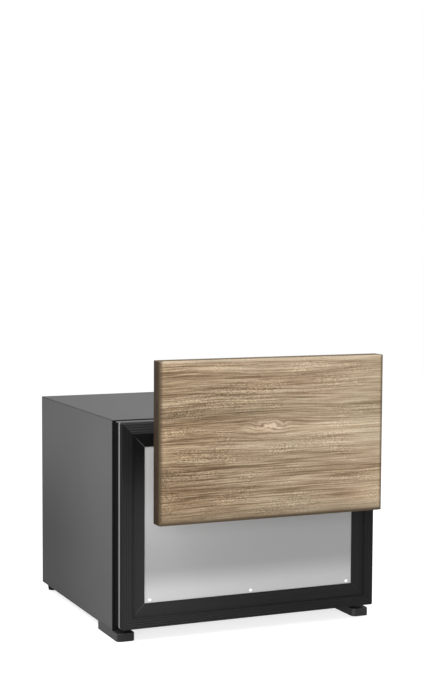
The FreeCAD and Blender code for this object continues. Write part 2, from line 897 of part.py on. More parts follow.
def drawer_screw_set():
    """Screws of the right side: through the tub into the bracket, and through the flange into the door."""
    screws = []
    wall = tub_half - tub_wall
    z = bracket_bottom + bracket_height * drawer_screw_height_share
    for share in drawer_screw_shares:
        depth = plug_reach + bracket_length * share
        head = rod_across(drawer_screw_head_radius, wall - drawer_screw_head_height, wall, depth, z)
        tip = rail_face + drawer_screw_tip
        screws.append(joined([head, rod_across(drawer_screw_radius, wall, tip, depth, z)]))
    x = tub_half - bracket_flange / 2
    wall = tub_front + tub_wall
    for share in flange_screw_height_shares:
        z = bracket_bottom + bracket_height * share
        head = rod_deep(drawer_screw_head_radius, x, z, wall, wall + drawer_screw_head_height)
        tip = plug_reach - inner_door_wall - drawer_screw_tip
        screws.append(joined([head, rod_deep(drawer_screw_radius, x, z, tip, wall)]))
    return screws


def drawer_tub():
    """Open plastic tub that holds the bottles."""
    low = cavity_floor + tub_floor_gap
    outside = even_block(tub_half, tub_front, tub_front + tub_length, low, low + tub_height)
    outside = outside.makeFillet(tub_corner_round, behind(upright_edges(outside), tub_length / 2))
    inside = even_block(tub_half - tub_wall, tub_front + tub_wall, tub_front + tub_length - tub_wall,
                        low + tub_wall, low + tub_height + overrun)
    inside = inside.makeFillet(tub_corner_round - tub_wall, behind(upright_edges(inside), tub_length / 2))
    return without(outside.cut(inside), both_sides(drawer_screw_set()))


def bottle_divider():
    """Right upright plate between two rows of bottles."""
    x = tub_half * divider_place_share
    low = cavity_floor + tub_floor_gap + tub_wall
    return block(x - divider_thickness / 2, x + divider_thickness / 2, tub_front + tub_wall,
                 tub_front + tub_length - tub_wall, low, low + divider_height)


# Drawer front

def front_outline(depth_low, depth_high, inset):
    """Rounded block over the whole drawer front, less an inset all round."""
    outline = even_block(front_half - inset, depth_low, depth_high, front_bottom + inset, front_top - inset)
    return outline.makeFillet(front_corner_round, deep_edges(outline))


def gasket():
    """Magnetic seal: a flat base with a narrower bulb behind it."""
    parts = []
    steps = ((inner_door_back, inner_door_back + gasket_base_depth, 0),
             (inner_door_back + gasket_base_depth, -seal_gap, gasket_bulb_inset))
    for low, high, inset in steps:
        outside = front_outline(low, high, gasket_inset + inset)
        hole_inset = gasket_inset + gasket_width - inset
        hole = even_block(front_half - hole_inset, low - overrun, high + overrun,
                          front_bottom + hole_inset, front_top - hole_inset)
        parts.append(outside.cut(hole))
    return joined(parts)


def plug_block(inset, depth_low, depth_high):
    """Raised middle of the inner door, which fits the mouth of the cold room."""
    return even_block(plug_half - inset, depth_low, depth_high, plug_bottom + inset, plug_top - inset)


def door_hollow():
    """Space for the insulation inside the drawer front."""
    skirt = even_block(front_half - inner_door_wall, tray_back, inner_door_back - inner_door_wall,
                       front_bottom + inner_door_wall, front_top - inner_door_wall)
    plug = plug_block(inner_door_wall, tray_back, plug_reach - inner_door_wall)
    return joined([skirt, plug])


def door_inner_panel():
    """Black inner door with a skirt, a rim for the seal and the raised plug."""
    body = joined([front_outline(tray_back, inner_door_back, 0), plug_block(0, tray_back, plug_reach)])
    hollow = door_hollow()
    return without(body, [hollow] + both_sides(drawer_screw_set()))


def tray_hollow():
    """Inside of the folded sheet tray."""
    return even_block(front_half - tray_sheet, tray_front + tray_sheet, tray_back,
                      front_bottom + tray_sheet, front_top - tray_sheet)


def door_skin():
    """Folded sheet tray that makes the outside of the insulated door."""
    tray = front_outline(tray_front, tray_back, 0).cut(tray_hollow())
    return without(tray, sheet_rivet_set())


def door_foam():
    """Insulation inside the drawer front."""
    core = joined([door_hollow(), tray_hollow()])
    tools = sheet_rivet_set() + [switch_magnet()] + both_sides(drawer_screw_set())
    return without(core, tools)


def switch_magnet():
    """Magnet in the top of the plug that works the light switch."""
    back = plug_reach - inner_door_wall
    ceiling = plug_top - inner_door_wall
    return block(reed_side - magnet_width / 2, reed_side + magnet_width / 2, back - magnet_depth, back,
                 ceiling - magnet_width, ceiling)


def front_sheet():
    """Silver composite sheet behind the opening of the frame."""
    reach = front_sheet_overlap
    sheet = even_block(opening_half + reach, sheet_front, tray_front,
                       opening_bottom - reach, opening_top + reach)
    return without(sheet, sheet_rivet_set())


def sheet_rivet_set():
    """Blind rivets along the lower edge of the front sheet."""
    rivets = []
    z = opening_bottom + rivet_edge_distance
    back = tray_front + tray_sheet
    for x in (rivet_side_distance - opening_half, 0, opening_half - rivet_side_distance):
        head = rod_deep(rivet_head_radius, x, z, sheet_front - rivet_head_height, sheet_front)
        rim = in_front(head.Edges, sheet_front - rivet_head_height / 2)
        head = head.makeFillet(rivet_head_height / 2, rim)
        shank = rod_deep(rivet_radius, x, z, sheet_front, back)
        bulb = rod_deep(rivet_bulb_radius, x, z, back, back + rivet_bulb_length)
        rivets.append(joined([head, shank, bulb]))
    return rivets


def frame_section():
    """Profile of a frame bar as inward distance and height above the tray."""
    land = frame_depth - land_drop
    lip = front_sheet_thickness + rebate_clearance
    points = [(0, 0), (0, frame_depth - frame_edge_round), (frame_edge_round, frame_depth)]
    pitch = (rib_zone_width - frame_edge_round) / rib_count
    for index in range(rib_count):
        start = frame_edge_round + (index + 0.5) * pitch - rib_groove_width / 2
        end = start + rib_groove_width
        floor = frame_depth - rib_groove_depth
        points += [(start, frame_depth), (start, floor), (end, floor), (end, frame_depth)]
    points += [(rib_zone_width, frame_depth), (rib_zone_width, land)]
    points += [(frame_width - lip_chamfer, land), (frame_width, land - lip_chamfer), (frame_width, lip)]
    points += [(frame_width - rebate_width, lip), (frame_width - rebate_width, 0)]
    channel_end = channel_wall + channel_width
    points += [(channel_end, 0), (channel_end, channel_depth)]
    points += [(channel_wall, channel_depth), (channel_wall, 0)]
    return points


def frame_bar(corner, along, inward, length):
    """Bar of the frame with both ends cut to a mitre, from its outer corner."""
    forward = Vector(0, -1, 0)
    section = [corner + inward * inset + forward * height for inset, height in frame_section()]
    bar = Part.Face(Part.makePolygon(section + section[:1])).extrude(along * length)
    near = corner + (inward + along) * frame_width
    far = corner + inward * frame_width + along * (length - frame_width)
    mitre = Part.makePolygon([corner, corner + along * length, far, near, corner])
    bar = bar.common(Part.Face(mitre).extrude(forward * frame_depth))
    return bar.common(front_outline(frame_front - overrun, tray_front, 0))


def frame_corner(side, z):
    """Outer corner of the frame on the front of the tray."""
    return Vector(side * front_half, front_y + tray_front, z)


def frame_bars():
    """The four mitred bars by name."""
    across = Vector(1, 0, 0)
    up = Vector(0, 0, 1)
    width = 2 * front_half
    height = front_top - front_bottom
    return {
        "frame_bottom": frame_bar(frame_corner(-1, front_bottom), across, up, width),
        "frame_top": frame_bar(frame_corner(-1, front_top), across, up * -1, width),
        "frame_left": frame_bar(frame_corner(-1, front_bottom), up, across, height),
        "frame_right": frame_bar(frame_corner(1, front_bottom), up, across * -1, height),
    }


def corner_keys():
    """Angle keys that hold the mitred corners together from inside."""
    near = channel_wall + key_clearance
    far = channel_wall + channel_width - key_clearance
    corners = ((near, near), (key_leg, near), (key_leg, far), (far, far), (far, key_leg), (near, key_leg))
    keys = []
    for side in (-1, 1):
        for end in (0, 1):
            points = []
            for inset_x, inset_z in corners:
                z = front_top - inset_z if end else front_bottom + inset_z
                points.append((side * (front_half - inset_x), z))
            keys.append(prism_along_depth(points, tray_front - channel_depth + key_clearance,
                                          channel_depth - key_clearance))
    return keys


# Decor panel

def decor_panel():
    """Wooden decor panel, taken off and held in front of the drawer front."""
    low = panel_middle - panel_height / 2
    left = -panel_sideways - panel_width / 2
    board = block(left, left + panel_width, panel_front, panel_back, low, low + panel_height)
    return board.makeChamfer(panel_chamfer, in_front(board.Edges, panel_front + panel_chamfer))


def mounting_pads():
    """Foam pads on the back of the decor panel that stick it to the front sheet."""
    low = panel_middle - panel_height / 2
    pads = []
    for share in pad_height_shares:
        z = low + panel_height * share
        pads.append(centred_block(-panel_sideways, z, pad_length, pad_height, panel_back,
                                  panel_back + pad_thickness))
    return pads


def right_and_left(name, shape):
    """A piece of the right side and its mirror image, by name."""
    return {name + "_right": shape, name + "_left": mirrored(shape)}


def pieces():
    """Every piece of the object by name."""
    found = {
        "cabinet_shell": cabinet_shell(),
        "bottom_plate": bottom_plate(),
        "front_rim": front_rim(),
        "inner_liner": inner_liner(),
        "cabinet_foam": cabinet_foam(),
        "rear_bulkhead": rear_bulkhead(),
        "rear_cover": rear_cover(),
        "rear_cover_screws": Part.makeCompound([cover_screw(place) for place in cover_screw_places()]),
        "foot_screws": Part.makeCompound([foot_screw(place) for place in foot_screw_places()]),
        "cold_sink": cold_sink(),
        "cold_block": cold_block(),
        "peltier_module": peltier_module(),
        "hot_sink": hot_sink(),
        "cold_fan_frame": fan_frame(cold_fan_size, cold_fan_front, cold_fan_back,
                                    cold_fan_bore, cold_fan_hub),
        "cold_fan_rotor": fan_rotor(cold_fan_front, cold_fan_back, cold_fan_bore, cold_fan_hub),
        "hot_fan_frame": fan_frame(hot_fan_size, hot_fan_front, cover_front, hot_fan_bore, hot_fan_hub),
        "hot_fan_rotor": fan_rotor(hot_fan_front, cover_front, hot_fan_bore, hot_fan_hub),
        "cold_air_cover": cold_air_cover(),
        "power_inlet": power_inlet(),
        "power_supply_box": power_supply_box(),
        "power_board": power_board(),
        "internal_leads": Part.makeCompound([mains_lead(), fan_lead()]),
        "light_housing": light_housing(),
        "light_lens": light_lens(),
        "led_board": led_board(),
        "thermostat": thermostat(),
        "thermostat_knob": thermostat_knob(),
        "temperature_sensor": temperature_sensor(),
        "reed_switch": reed_switch(),
        "switch_magnet": switch_magnet(),
        "rail_screws": Part.makeCompound(both_sides([rail_screw(depth) for depth in rail_screw_places()])),
        "drawer_screws": Part.makeCompound(both_sides(drawer_screw_set())),
        "drawer_tub": drawer_tub(),
        "gasket": gasket(),
        "door_inner_panel": door_inner_panel(),
        "door_foam": door_foam(),
        "door_skin": door_skin(),
        "front_sheet": front_sheet(),
        "sheet_rivets": Part.makeCompound(sheet_rivet_set()),
        "corner_keys": Part.makeCompound(corner_keys()),
        "decor_panel": decor_panel(),
        "mounting_pads": Part.makeCompound(mounting_pads()),
    }
    found.update(frame_bars())
    found.update(right_and_left("front_foot", front_foot()))
    found.update(right_and_left("rear_foot", rear_foot()))
    found.update(right_and_left("outer_rail", outer_rail()))
    found.update(right_and_left("middle_rail", middle_rail()))
    found.update(right_and_left("inner_rail", inner_rail()))
    found.update(right_and_left("drawer_bracket", drawer_bracket()))
    found.update(right_and_left("bottle_divider", bottle_divider()))
    return found


os.makedirs("parts", exist_ok=True)
for name, shape in pieces().items():
    shape.exportStep("parts/" + name + ".step")
    print(name, len(shape.Solids), "solids, volume", round(shape.Volume), "valid", shape.isValid())
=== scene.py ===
import bmesh
import bpy
import json
import math
from mathutils import Matrix, Vector


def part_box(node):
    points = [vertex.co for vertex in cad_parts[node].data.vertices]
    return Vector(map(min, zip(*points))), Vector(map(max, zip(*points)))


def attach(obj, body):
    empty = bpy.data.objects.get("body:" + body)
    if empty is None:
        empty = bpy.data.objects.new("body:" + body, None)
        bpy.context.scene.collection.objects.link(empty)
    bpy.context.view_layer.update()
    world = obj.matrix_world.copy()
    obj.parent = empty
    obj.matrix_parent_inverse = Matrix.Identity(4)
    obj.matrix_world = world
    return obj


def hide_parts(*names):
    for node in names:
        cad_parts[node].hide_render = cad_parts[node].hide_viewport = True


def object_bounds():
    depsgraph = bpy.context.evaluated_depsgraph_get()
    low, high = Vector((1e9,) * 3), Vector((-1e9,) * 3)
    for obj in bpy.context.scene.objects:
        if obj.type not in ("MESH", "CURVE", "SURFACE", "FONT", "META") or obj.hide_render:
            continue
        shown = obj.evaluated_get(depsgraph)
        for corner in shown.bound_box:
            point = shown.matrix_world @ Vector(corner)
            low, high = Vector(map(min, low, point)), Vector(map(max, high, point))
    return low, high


# Drawer refrigerator with its decor panel held in front, in metres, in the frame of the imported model.
# Z is up and the drawer opens towards minus Y.

# Camera, fitted to the edges in the photograph
camera_place = Vector((-1.0083, -2.3007, 0.6279))
camera_yaw = math.radians(23.64)
camera_pitch = math.radians(4.42)
camera_roll = math.radians(0.28)
camera_lens = 78.28
camera_sensor = 36.0

# Studio; a soft box has a name, a place, a width and a power in watts
floor_size = 40.0
floor_white = 0.7
floor_lift = 0.76
ambient_strength = 0.34
light_colour = (1.0, 1.0, 1.0)
soft_boxes = (
    ("key", Vector((-0.75, -0.55, 0.75)), 0.4, 4.4),
    ("fill", Vector((-1.3, -2.2, 0.5)), 1.2, 36.0),
    ("top", Vector((0.3, 0.3, 2.3)), 1.4, 24.0),
)

# Decor board and its pads; a face is veneered where it points forwards or backwards by this much
board_bevel = 0.0011
pad_bevel = 0.0016
pad_height = 0.020
bevel_steps = 3
veneer_facing = 0.5

# Door seal; its section runs inwards from its outline and back by shares of its depth
seal_round = 0.018
seal_steps = 6
seal_crease = math.radians(50)
seal_section = ((0.0000, 0.00), (0.0000, 0.10), (0.0028, 0.16), (0.0036, 0.30), (0.0026, 0.44),
                (0.0036, 0.58), (0.0025, 0.68), (0.0025, 0.90), (0.0032, 1.00), (0.0118, 1.00),
                (0.0125, 0.90), (0.0125, 0.68), (0.0114, 0.58), (0.0124, 0.44), (0.0114, 0.30),
                (0.0122, 0.16), (0.0150, 0.10), (0.0150, 0.00))

# Frame bars; the ribs lie between two insets from the outline and the flat land inside them
rib_start = 0.0012
rib_end = 0.0165
rib_count = 4
rib_pitch = (rib_end - rib_start) / rib_count
land_start = rib_end + 0.006
land_end = 0.036

# Object boxes that the materials and pieces are fitted to
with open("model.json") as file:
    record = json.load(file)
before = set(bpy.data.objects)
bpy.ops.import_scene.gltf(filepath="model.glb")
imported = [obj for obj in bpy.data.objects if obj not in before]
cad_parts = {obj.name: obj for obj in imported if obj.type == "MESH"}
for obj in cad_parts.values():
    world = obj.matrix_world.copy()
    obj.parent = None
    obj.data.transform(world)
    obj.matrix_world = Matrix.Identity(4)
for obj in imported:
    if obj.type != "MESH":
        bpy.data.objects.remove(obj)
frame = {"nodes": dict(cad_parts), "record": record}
nodes = frame["nodes"]
cad_low, cad_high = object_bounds()
shell_low, shell_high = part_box("cabinet_shell")
panel_low, panel_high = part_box("decor_panel")
sheet_low, sheet_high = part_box("front_sheet")
front_low, front_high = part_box("door_skin")
panel_middle = (panel_low + panel_high) / 2

# Knot of the decor panel, by shares of its width from the left and of its height from the top
knot_across = 0.475
knot_down = 0.42
knot_x = panel_low.x + knot_across * (panel_high.x - panel_low.x)
knot_z = panel_high.z - knot_down * (panel_high.z - panel_low.z)

# Lengths and heights over which the knot bends, whirls and pales the grain
knot_bend = (0.067, 0.0157)
knot_whirl = (0.036, 0.013)
knot_heart = (0.022, 0.0095)

# Results of a spread, and ranges that soft noise mostly fills
rising = (0.0, 1.0)
falling = (1.0, 0.0)
cloud_span = (0.3, 0.7)
wide_span = (0.2, 0.8)

# Scale, detail and roughness of the noise for rolled or brushed sheet and for drawn bars
brush_noise = (3.0, 5.0, 0.6)
drawn_noise = (4.0, 4.0, 0.6)


# Node helpers

class Surface:
    """Material under construction: its node tree, its shader and short ways to add nodes."""

    def __init__(self, name, roughness, metallic=0.0, gloss=0.5):
        self.material = bpy.data.materials.new(name)
        self.material.use_nodes = True
        self.tree = self.material.node_tree
        self.shader = self.tree.nodes["Principled BSDF"]
        self.shader.inputs["Roughness"].default_value = roughness
        self.shader.inputs["Metallic"].default_value = metallic
        self.shader.inputs["Specular IOR Level"].default_value = gloss
        self.place = self.add("ShaderNodeTexCoord").outputs["Object"]

    def add(self, kind, settings=None, **sockets):
        """New node with its settings. Its sockets go by name, or as i0, i1 and so on, and each takes
        a number, a colour or another node's output."""
        node = self.tree.nodes.new(kind)
        for key, value in (settings or {}).items():
            setattr(node, key, value)
        for key, value in sockets.items():
            by_number = key[1:].isdigit()
            self.feed(node.inputs[int(key[1:]) if by_number else key], value)
        return node

    def feed(self, socket, value):
        """Joins an output to a socket, or sets the socket's own value."""
        if isinstance(value, bpy.types.NodeSocket):
            self.tree.links.new(value, socket)
        else:
            socket.default_value = value

    def maths(self, operation, first, second=0.0):
        """Result of one sum, product or comparison."""
        return self.add("ShaderNodeMath", {"operation": operation}, i0=first, i1=second).outputs[0]

    def chained(self, operation, values):
        """Several values put together two by two."""
        result = values[0]
        for value in values[1:]:
            result = self.maths(operation, result, value)
        return result

    def product(self, *values):
        """Values multiplied together."""
        return self.chained("MULTIPLY", values)

    def total(self, *values):
        """Values added together."""
        return self.chained("ADD", values)

    def most(self, *values):
        """Greatest of some values."""
        return self.chained("MAXIMUM", values)

    def minus(self, first, second):
        """Difference of two values."""
        return self.maths("SUBTRACT", first, second)

    def size_of(self, value):
        """Value without its sign."""
        return self.maths("ABSOLUTE", value)

    def axes(self, place=None):
        """The three coordinates of a place."""
        split = self.add("ShaderNodeSeparateXYZ", i0=place or self.place)
        return split.outputs[0], split.outputs[1], split.outputs[2]

    def facing(self):
        """The three coordinates of the normal."""
        return self.axes(self.add("ShaderNodeNewGeometry").outputs["Normal"])

    def upward(self):
        """One where the surface faces up and nought on upright sides."""
        return self.spread(self.facing()[2], (0.5, 0.9))

    def stretched(self, x, y, z, place=None):
        """Place with each coordinate scaled, for patterns that are longer one way."""
        settings = {"operation": "MULTIPLY"}
        node = self.add("ShaderNodeVectorMath", settings, i0=place or self.place, i1=(x, y, z))
        return node.outputs[0]

    def noise(self, scale, detail=2.0, roughness=0.5, place=None):
        """Grey noise between nought and one."""
        node = self.add("ShaderNodeTexNoise", Vector=place or self.place, Scale=scale, Detail=detail,
                        Roughness=roughness)
        return node.outputs["Fac"]

    def cells(self, scale):
        """Node of a pattern of round cells."""
        return self.add("ShaderNodeTexVoronoi", Vector=self.place, Scale=scale)

    def spread(self, value, span, result=rising):
        """Value moved smoothly from one range to another."""
        node = self.add("ShaderNodeMapRange", {"interpolation_type": "SMOOTHSTEP"}, i0=value,
                        i1=span[0], i2=span[1], i3=result[0], i4=result[1])
        return node.outputs[0]

    def ramp(self, value, stops):
        """Colour for a value, from a list of places and colours."""
        node = self.add("ShaderNodeValToRGB", Fac=value)
        line = node.color_ramp.elements
        while len(line) < len(stops):
            line.new(1.0)
        for element, (place, colour) in zip(line, stops):
            element.position = place
            element.color = (*colour, 1.0)
        return node.outputs["Color"]

    def mixed(self, share, first, second, blend="MIX"):
        """Two colours mixed by a share."""
        node = self.add("ShaderNodeMix", {"data_type": "RGBA", "blend_type": blend})
        self.feed(node.inputs["Factor"], share)
        for key, colour in (("A", first), ("B", second)):
            socket = [each for each in node.inputs if each.name == key and each.type == "RGBA"][0]
            self.feed(socket, colour if isinstance(colour, bpy.types.NodeSocket) else (*colour, 1.0))
        return [each for each in node.outputs if each.type == "RGBA"][0]

    def tinted(self, colour, tint):
        """Colour multiplied by another colour or by a grey value."""
        return self.mixed(1.0, colour, tint, "MULTIPLY")

    def brushed(self, stretch):
        """Fine parallel marks, close together along the axis that is stretched most."""
        return self.noise(*brush_noise, self.stretched(*stretch))

    def clouded(self, dark, light, scale):
        """Two colours in broad soft patches."""
        return self.mixed(self.spread(self.noise(scale, detail=3.0), cloud_span), dark, light)

    def mottled(self, dark, light, scale=60.0):
        """Two colours in small faint patches."""
        return self.mixed(self.noise(scale, detail=3.0), dark, light)

    def finish(self, colour, height, depth, strength=0.3, roughness=None):
        """Joins colour, relief and roughness to the shader."""
        bump = self.add("ShaderNodeBump", Strength=strength, Distance=depth, Height=height)
        self.feed(self.shader.inputs["Base Color"], colour)
        self.feed(self.shader.inputs["Normal"], bump.outputs["Normal"])
        if roughness is not None:
            self.feed(self.shader.inputs["Roughness"], roughness)
        return self.material


def shaded(colour, factor):
    """Colour made lighter or darker."""
    return tuple(min(1.0, part * factor) for part in colour)


def grey(level, blue=None):
    """Grey, with its blue part given apart where it is tinted."""
    return (level, level, level if blue is None else blue)


# Materials of the cabinet and its feet

def painted(name, colour, roughness=0.42, mottle=0.06, grain=900.0, gloss=0.5):
    """Satin paint or moulded plastic: faint mottling and a fine pimpled skin."""
    s = Surface(name, roughness, gloss=gloss)
    tone = s.clouded(shaded(colour, 1 - mottle), shaded(colour, 1 + mottle), scale=9.0)
    wear = s.noise(40.0, detail=4.0)
    rough = s.spread(wear, wide_span, (roughness - 0.05, roughness + 0.06))
    return s.finish(tone, s.noise(grain), depth=0.00015, strength=0.25, roughness=rough)


def fold_line(s, low, high, width):
    """One along the edges of a box and nought on its faces."""
    gaps = []
    for value, centre, reach in zip(s.axes(), (low + high) / 2, (high - low) / 2):
        away = s.size_of(s.minus(value, centre))
        gaps.append(s.most(s.minus(reach, away), 0.0))
    two_nearest = s.minus(s.total(*gaps), s.most(*gaps))
    return s.spread(two_nearest, (width * 0.3, width), falling)


def cabinet_paint():
    """Grey coated sheet, darker along its folds, with painted shade at the outside of its top and low at the
    rear of its sides.
    """
    s = Surface("cabinet_paint", 0.55, gloss=0.08)
    colour = grey(0.106, 0.1065)
    flank_shade_tone, top_shading_tone, fold_tone = (shaded(colour, share) for share in (0.37, 0.4, 0.3))
    fold_width, fold_share = 0.0026, 0.6
    low_span = (shell_low.z + 0.08, shell_high.z - 0.03)
    rear_shade_span = (shell_low.y + 0.02, shell_high.y)
    flank_shade_span = (shell_high.x - 0.0008, shell_high.x - 0.0002)
    outward_span = (shell_high.x * 0.3, shell_high.x)
    top_shading_span = (shell_high.z - 0.001, shell_high.z)

    x, y, z = s.axes()
    out = s.size_of(x)
    tone = s.clouded(shaded(colour, 0.96), shaded(colour, 1.05), scale=5.0)
    # Painted shade: the sides darker towards their lower rear.
    low = s.spread(z, low_span, falling)
    flank_shade = s.product(s.spread(y, rear_shade_span, (0.30, 1.0)), s.spread(out, flank_shade_span))
    tone = s.mixed(s.product(low, flank_shade), tone, flank_shade_tone)
    # Painted shade on the top, darker towards its outer edges.
    top = s.product(s.spread(out, outward_span, (0.0, 0.22)), s.spread(z, top_shading_span))
    tone = s.mixed(top, tone, top_shading_tone)
    fold = fold_line(s, shell_low, shell_high, fold_width)
    tone = s.mixed(s.product(fold, fold_share), tone, fold_tone)
    return s.finish(tone, s.noise(700.0), depth=0.0002, strength=0.25)


def foot_paint():
    """Front foot: black plastic with the grey of the cabinet on its outer side, their contrast partly
    painted light and shade; lighter on the right foot and on its round edges as painted light.
    """
    s = Surface("foot_paint", 0.55, gloss=0.06)
    left_black = s.mottled(grey(0.024, 0.0241), grey(0.034, 0.0342))
    right_lit_black = s.mottled(grey(0.034, 0.0341), grey(0.054, 0.0542))
    outer_grey = s.mottled(grey(0.060, 0.0605), grey(0.074, 0.0745))
    edge_highlight_tone, edge_highlight_share = grey(0.10), 0.6
    right_span = (0.0, 0.1)
    outer_span = (shell_high.x - 0.0016, shell_high.x - 0.0004)

    x = s.axes()[0]
    right = s.spread(x, right_span)
    across, ahead, rise = s.facing()
    upper_edge = s.product(s.spread(rise, (0.1, 0.45)), s.spread(rise, (0.8, 0.97), falling))
    corner = s.spread(s.product(across, ahead), (0.25, 0.48))
    edge = s.most(upper_edge, s.product(corner, right))
    # Painted light: the front of the right foot lighter.
    tone = s.mixed(right, left_black, right_lit_black)
    # Painted highlights on the round upper and corner edges.
    tone = s.mixed(s.product(edge, edge_highlight_share), tone, edge_highlight_tone)
    # The outer side takes the grey of the cabinet; part of its lightness against the black front is painted
    # light.
    tone = s.mixed(s.spread(s.size_of(x), outer_span), tone, outer_grey)
    return s.finish(tone, s.noise(500.0), depth=0.0002)


def rim_black():
    """Black coated rim, with the grey of the cabinet folded over its upper edge."""
    s = Surface("rim_black", 0.65, gloss=0.03)
    fold_span = (shell_high.z - 0.0009, shell_high.z - 0.0003)
    black = s.mottled(grey(0.006, 0.0061), grey(0.010, 0.0101))
    tone = s.mixed(s.spread(s.axes()[2], fold_span), black, grey(0.16, 0.1605))
    return s.finish(tone, s.noise(700.0), depth=0.0001, strength=0.2)


# Materials of the drawer front

def door_black():
    """Black moulded inner door, with a painted highlight in grey along its top."""
    s = Surface("door_black", 0.65, gloss=0.006)
    black = s.mottled(grey(0.005, 0.0051), grey(0.008, 0.0081))
    # Painted highlight: faces that point up turn light grey.
    tone = s.mixed(s.upward(), black, grey(0.17, 0.1705))
    return s.finish(tone, s.noise(900.0), depth=0.00015, strength=0.25)


def skin_steel():
    """Folded sheet round the drawer front, with painted shade along both of its edges and on top."""
    s = Surface("skin_steel", 0.45, gloss=0.04)
    front_shading_span = (front_low.y + 0.0008, front_low.y + 0.0022)
    rear_shade_span = (front_high.y - 0.0030, front_high.y - 0.0014)
    lines = s.brushed((3.0, 40.0, 3.0))
    tone = s.mixed(lines, grey(0.215, 0.217), grey(0.275, 0.278))
    # Painted shade on the top of the sheet.
    tone = s.mixed(s.upward(), tone, grey(0.030, 0.0302))
    y = s.axes()[1]
    # Painted shadow lines along its front and rear edges.
    edges = s.most(s.spread(y, front_shading_span, falling), s.spread(y, rear_shade_span))
    tone = s.mixed(edges, tone, grey(0.012))
    return s.finish(tone, lines, depth=0.00005)


def silver_sheet():
    """Satin silver sheet, finely brushed across, with painted light towards its upper left and a painted
    reflection of the floor as a light band along its bottom.
    """
    s = Surface("silver_sheet", 0.45, metallic=0.1, gloss=0.3)
    lower_left, lit_upper_left, right = grey(0.34, 0.342), grey(0.475, 0.477), grey(0.365, 0.367)
    reflection_band_left, reflection_band_right = grey(0.565, 0.568), grey(0.545, 0.548)
    cloud_tone, cloud_share = grey(0.3), 0.12
    brush_tone, brush_share = grey(0.2), 0.12
    rise_span = (sheet_low.z + 0.06, sheet_low.z + 0.19)
    reflection_band_span = (sheet_low.z + 0.020, sheet_low.z + 0.062)

    x, _, z = s.axes()
    # Painted light across the sheet, lightest at its upper left.
    side = s.spread(x, (sheet_low.x, sheet_high.x))
    tone = s.mixed(side, s.mixed(s.spread(z, rise_span), lower_left, lit_upper_left), right)
    cloud = s.noise(2.2, place=s.stretched(1.6, 1.0, 1.0))
    tone = s.mixed(s.spread(cloud, cloud_span, (0.0, cloud_share)), tone, cloud_tone)
    # Painted reflection of the floor: a light band along the bottom.
    tone = s.mixed(s.spread(z, reflection_band_span, falling), tone, s.mixed(side, reflection_band_left, reflection_band_right))
    brushed = s.brushed((2.0, 30.0, 700.0))
    tone = s.mixed(s.product(brushed, brush_share), tone, brush_tone)
    return s.finish(tone, brushed, depth=0.00004)


def inset_from_outline(s):
    """Distances from the sides and from the top and bottom of the drawer front."""
    x, _, z = s.axes()
    half = (front_high - front_low) / 2
    middle = (front_high + front_low) / 2
    return s.minus(half.x, s.size_of(x)), s.minus(half.z, s.size_of(s.minus(z, middle.z)))


def drawn_marks(s, upright):
    """Faint marks from drawing the bars, along each of them."""
    level_marks = s.noise(*drawn_noise, s.stretched(3.0, 60.0, 160.0))
    upright_marks = s.noise(*drawn_noise, s.stretched(160.0, 60.0, 3.0))
    return s.mixed(upright, level_marks, upright_marks)


def ribbed(s, tone, inset, rows, in_ribs):
    """Tone of the bars with painted shade in the grooves and painted highlights on the crests where the rows
    of ribs show.
    """
    groove_shade_tone, groove_shade_share = grey(0.006), 0.4
    crest_highlight_tone, crest_highlight_share = grey(0.062, 0.0622), 0.5
    shown = s.product(in_ribs, s.most(*rows))
    wave = s.maths("PINGPONG", s.minus(inset, rib_start), rib_pitch / 2)
    groove_shade = s.product(s.spread(wave, (rib_pitch * 0.28, rib_pitch * 0.42)), shown)
    crest_highlight = s.product(s.spread(wave, (rib_pitch * 0.16, 0.0)), shown)
    # Painted shade in the grooves, then painted highlights on the crests.
    tone = s.mixed(s.product(groove_shade, groove_shade_share), tone, groove_shade_tone)
    return s.mixed(s.product(crest_highlight, crest_highlight_share), tone, crest_highlight_tone)


def mitred(s, tone, inset, from_side, from_end, near):
    """Tone of the bars with the mitre cut across their corners drawn as a bright line of painted highlight,
    clearest near the camera.
    """
    cut_highlight_tone = grey(0.10)
    width_span, along_span = (0.0003, 0.0010), (rib_end, land_end)
    across = s.size_of(s.minus(from_side, from_end))
    cut = s.product(s.spread(across, width_span, falling), s.spread(inset, along_span, (0.05, 1.0)))
    strength = s.total(s.product(near, 0.6), 0.15)
    # Painted highlight along the mitre cut.
    return s.mixed(s.product(cut, strength), tone, cut_highlight_tone)


